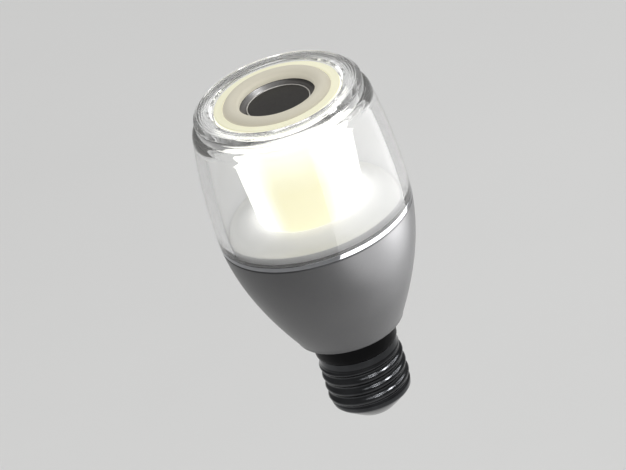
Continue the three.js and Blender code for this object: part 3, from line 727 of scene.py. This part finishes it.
def surround():
    """Half roll of rubber: outer flange, round crest, and a foot glued to the edge of the cone."""
    base = 114 * MM
    foot = top_of("speaker_cone") + 0.05 * MM
    middle, half, height, thick = 14.55 * MM, 2.5 * MM, TOTAL_HEIGHT - base, 0.45 * MM
    steps = 28

    def roll(width, rise, order):
        """Points of a half ellipse, at the steps in the order given."""
        turns = [math.pi * i / steps for i in order]
        return [(middle + width * math.cos(t), base + rise * math.sin(t)) for t in turns]

    upper = roll(half, height, range(steps + 1))
    lower = roll(half - thick, height - thick, range(steps, -1, -1))
    flange_r, flange = 17.2 * MM, 0.42 * MM
    roll_r = 16.9 * MM
    rim = filleted([
        (lower[-1][0], base, 0), (flange_r, base, 0.1 * MM), (flange_r, base + flange, 0.15 * MM),
        (roll_r, base + flange, 0),
    ], closed=False)
    outer = [(r, z) for r, z in upper if r < roll_r - 0.02 * MM]
    inner = middle - half
    lip = filleted([
        (inner, base, 0), (inner, foot, 0.2 * MM),
        (inner + thick, foot, 0.2 * MM), (inner + thick, base, 0),
    ], closed=False)
    return turned("surround_roll", rim[1:] + outer[:-1] + lip + lower[1:], 160, crease_deg=70)


def radial_blend(thing):
    """Bakes a ring-shaped piece's placement into its mesh."""
    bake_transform(thing)


def spider():
    """Corrugated cloth ring that centres the voice coil on the basket."""
    inner, outer = 6.8 * MM, radius_of("spider")
    middle = (top_of("spider") + bottom_of("spider")) / 2
    half, wave, waves, steps = 0.18 * MM, 0.3 * MM, 2.5, 40
    line = []
    for i in range(steps + 1):
        t = i / steps
        line.append((inner + (outer - inner) * t, middle + wave * math.sin(2 * math.pi * waves * t)))
    upper = [(r, z + half) for r, z in line]
    lower = [(r, z - half) for r, z in line]
    return turned("spider_cloth", lower + upper[::-1], 96, crease_deg=60)


def speaker_cone():
    """Thin pressed cone with shallow ribs round it."""
    neck_r, edge_r = 6.8 * MM, 12.0 * MM
    thick = 0.45 * MM
    edge_z = top_of("speaker_cone")
    neck_z = bottom_of("speaker_cone") + thick
    bow = 0.92
    rib_height, rib_turns = 0.03 * MM, 40
    steps = 30
    top = []
    for i in range(steps + 1):
        t = i / steps
        rib = rib_height * math.sin(t * rib_turns)
        top.append((edge_r + (neck_r - edge_r) * t, edge_z + (neck_z - edge_z) * t ** bow + rib))
    under = [(r, z - thick) for r, z in top][::-1]
    return turned("cone_pressed", under + top, 128, crease_deg=60)


def dust_cap():
    """Almost flat cap, very slightly domed, with a rolled edge."""
    seat = bottom_of("dust_cap") + 0.15 * MM
    spring = seat + 0.2 * MM
    crown = top_of("dust_cap")
    edge = 9.75 * MM
    steps = 20
    dome = []
    for i in range(steps, -1, -1):
        turn = math.pi / 2 * i / steps
        dome.append((edge * math.sin(turn), spring + (crown - spring) * math.cos(turn)))
    points = [(0, seat + 0.05 * MM), (edge, seat - 0.05 * MM)] + dome
    return turned("dust_cap_face", points, 128)


def dust_cap_bead():
    """Thin bright bead round the edge of the dust cap."""
    middle, half = 9.95 * MM, 0.2 * MM
    z = top_of("dust_cap") - 0.22 * MM
    sides = 16
    turns = [2 * math.pi * i / sides for i in range(sides)]
    points = [(middle + half * math.cos(t), z + half * math.sin(t)) for t in turns]
    return turned("dust_cap_bead", points, 128, crease_deg=80)


# ------------------------------------------------------------------ putting the outside together

add_piece(screw_shell(), "bulb", "cap_nickel", CAP, "screw_shell")
add_piece(centre_contact(), "bulb", "contact_solder", CONTACT, "centre_contact")
add_piece(base_insulator(), "bulb", "base_glass", BLACK_GLASS, "base_insulator")
add_piece(neck_collar(), "bulb", "collar_black", COLLAR, "neck_collar")
add_piece(housing_shell(), "bulb", "housing_silver", SILVER, "housing_shell")
add_piece(trim_ring(), "bulb", "trim_chrome", TRIM, "trim_ring")
add_piece(cover_gasket(), "bulb", "gasket_grey", GASKET, "cover_gasket")
cover = add_piece(clear_cover(), "bulb", "clear_plastic", CLEAR, "clear_cover")
cover.data.materials.append(BOND)
bond_top = TRIM_TOP_Z + 0.1 * MM
for face in cover.data.polygons:
    face.material_index = int(face.center.z < bond_top)
add_piece(rim_ring(), "bulb", "clear_plastic", CLEAR, "rim_ring")
add_piece(reflector_plate(), "bulb", "plate_white", WHITE, "reflector_plate")
add_piece(diffuser(), "bulb", "diffuser_opal", OPAL, "diffuser_cone")
add_piece(speaker_cone(), "cone", "cone_dark", CONE, "speaker_cone")
add_piece(dust_cap(), "cone", "cone_dark", CAP_DARK, "dust_cap")
add_piece(dust_cap_bead(), "cone", "cone_dark", BRIGHT_EDGE)

roll = surround()
roll.data.materials.append(BEIGE)
radial_blend(roll)
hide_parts("surround")

cloth = spider()
cloth.data.materials.append(SPIDER_WEAVE)
radial_blend(cloth)
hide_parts("spider")

# ------------------------------------------------------------------ inner pieces kept from the frame

INNER = {
    "cast_aluminium": mottled("cast_metal", (160, 162, 164), (178, 180, 182), 400, (0.45, 0.6), 0.03, 1.0),
    "board_green": mottled("solder_resist", (18, 82, 44), (28, 102, 56), 700, (0.3, 0.42), 0.01),
    "board_white": mottled("white_resist", (236, 236, 230), (246, 246, 242), 700, (0.35, 0.45), 0.006),
    "led_phosphor": mottled("phosphor", (240, 214, 110), (250, 228, 140), 2500, (0.3, 0.45), 0.01),
    "moulded_black": mottled("moulding", (22, 22, 23), (32, 32, 34), 1500, (0.5, 0.62), 0.01),
    "speaker_black": mottled("speaker_moulding", (26, 26, 27), (38, 38, 40), 900, (0.45, 0.6), 0.012),
    "can_sleeve": mottled("capacitor_sleeve", (26, 28, 38), (36, 38, 50), 300, (0.2, 0.32), 0.004),
    "tape_yellow": mottled("winding_tape", (214, 176, 60), (228, 194, 80), 260, (0.3, 0.45), 0.02),
    "film_red": mottled("dipped_film", (160, 58, 40), (182, 72, 50), 500, (0.2, 0.3), 0.02),
    "ceramic_white": mottled("ceramic", (222, 218, 204), (234, 230, 218), 900, (0.4, 0.55), 0.02),
    "ferrite": mottled("ferrite_block", (40, 40, 42), (58, 58, 60), 1200, (0.5, 0.7), 0.03, 0.2),
    "steel": mottled("zinc_steel", (164, 166, 170), (186, 188, 191), 500, (0.25, 0.4), 0.006, 1.0),
    "copper": mottled("enamelled_copper", (178, 96, 54), (200, 116, 70), 1600, (0.25, 0.38), 0.03, 0.9),
    "former_paper": mottled("former_paper", (226, 222, 206), (236, 232, 218), 1500, (0.6, 0.75), 0.01),
    "gasket_grey": GASKET,
    "wire_red": mottled("red_sleeve", (168, 30, 26), (188, 40, 34), 900, (0.35, 0.45), 0.005),
    "wire_black": mottled("black_sleeve", (24, 24, 26), (34, 34, 36), 900, (0.35, 0.45), 0.005),
    "wire_white": mottled("white_sleeve", (224, 224, 220), (236, 236, 232), 900, (0.35, 0.45), 0.005),
}

for entry in frame["record"]["subparts"]:
    thing = frame["nodes"][entry["node"]]
    if entry["material_slot"] in INNER and not thing.hide_render:
        thing.data.materials.clear()
        thing.data.materials.append(INNER[entry["material_slot"]])

# ------------------------------------------------------------------ floor and light

FLOOR_DROP = 450 * MM  # the bulb hangs this far above the floor
LIGHT_AIM_Z = 65 * MM  # level of the bulb that the lights are set round


def floor_sheet():
    """Plain pale sheet under the bulb."""
    half_width = 30
    work = bmesh.new()
    bmesh.ops.create_grid(work, x_segments=2, y_segments=2, size=half_width)
    thing = finish_mesh("floor", work)
    thing.location.z = -FLOOR_DROP
    paper = mottled("floor_paper", (222, 222, 221), (225, 225, 224), 3, (0.7, 0.8))
    thing.data.materials.append(paper)


def softbox(name, azimuth, elevation, distance, width, height, power, down=False):
    """A soft rectangular light in a direction from the bulb, facing the bulb or straight down.

    Azimuth and elevation are degrees, azimuth 0 being the camera's side and 90 its right.
    """
    data = bpy.data.lights.new(name, "AREA")
    data.shape = "RECTANGLE"
    data.size, data.size_y = width, height
    data.energy = power
    thing = bpy.data.objects.new(name, data)
    COLLECTION.objects.link(thing)
    turn, rise = math.radians(azimuth), math.radians(elevation)
    level = Vector((math.sin(turn), -math.cos(turn), 0))
    direction = level * math.cos(rise) + Vector((0, 0, math.sin(rise)))
    if not down:
        thing.rotation_euler = (-direction).to_track_quat("-Z", "Y").to_euler()
    thing.location = Vector((0, 0, LIGHT_AIM_Z)) + direction * distance
    thing.visible_camera = False
    return thing


def linked(light, state, *names):
    """Light linking: the named pieces alone take the light, or all but those do."""
    group = bpy.data.collections.new(light.name + "_on")
    light.light_linking.receiver_collection = group
    for name in names:
        group.objects.link(bpy.data.objects[name])
    for entry in group.collection_objects:
        entry.light_linking.link_state = state


def shine_on(light, *names):
    """Lets a light fall on the named pieces only, as a flagged lamp does."""
    linked(light, "INCLUDE", *names)


def keep_off(light, *names):
    """Shades the named pieces from a light."""
    linked(light, "EXCLUDE", *names)


CAP_PIECES = ("screw_shell_metal", "insulator_glass", "contact_button")

floor_sheet()

# One panel close by on the right gives the pale veil on the cover and the bright strip at the seam.
PANEL = {"azimuth": 66, "elevation": -10, "distance": 0.15, "width": 0.36, "height": 0.26}
key = softbox("key", **PANEL, power=0.75)
key.visible_transmission = False
keep_off(key, "collar_gloss", "plate_white", "trim_polished", *CAP_PIECES)
trim_light = softbox("trim_light", **PANEL, power=1.9)
shine_on(trim_light, "trim_polished")

softbox("floor_light", 170, 42, distance=1.5, width=1.2, height=1.2, power=7, down=True)
floor_fill = softbox("floor_fill", 0, 90, distance=2.0, width=6, height=6, power=50, down=True)
shine_on(floor_fill, "floor")

softbox("top", 10, 68, distance=0.9, width=0.8, height=0.6, power=3.6)
cone_light = softbox("cone_light", 97, 67, distance=0.5, width=0.08, height=0.08, power=3.0)
shine_on(cone_light, "cone_pressed")
softbox("strip_right", 92, 26, distance=1.2, width=0.7, height=0.1, power=1.6)
housing_light = softbox("housing_light", 88, -22, distance=0.45, width=0.24, height=0.24, power=1.3)
shine_on(housing_light, "housing_painted")

# The cap's own lights draw the streaks on its thread.
cap_light = softbox("cap_light", 82, 46, distance=0.45, width=0.4, height=0.09, power=3.6)
shine_on(cap_light, *CAP_PIECES)
cap_glint = softbox("cap_glint", 12, 36, distance=0.45, width=0.16, height=0.03, power=0.35)
shine_on(cap_glint, *CAP_PIECES)

world = bpy.data.worlds.new("studio")
world.use_nodes = True
background = world.node_tree.nodes["Background"]
background.inputs["Color"].default_value = (0.94, 0.94, 0.94, 1)
background.inputs["Strength"].default_value = 0.25
bpy.context.scene.world = world
bpy.context.scene.view_settings.view_transform = "Standard"

# ------------------------------------------------------------------ update

bpy.context.view_layer.update()
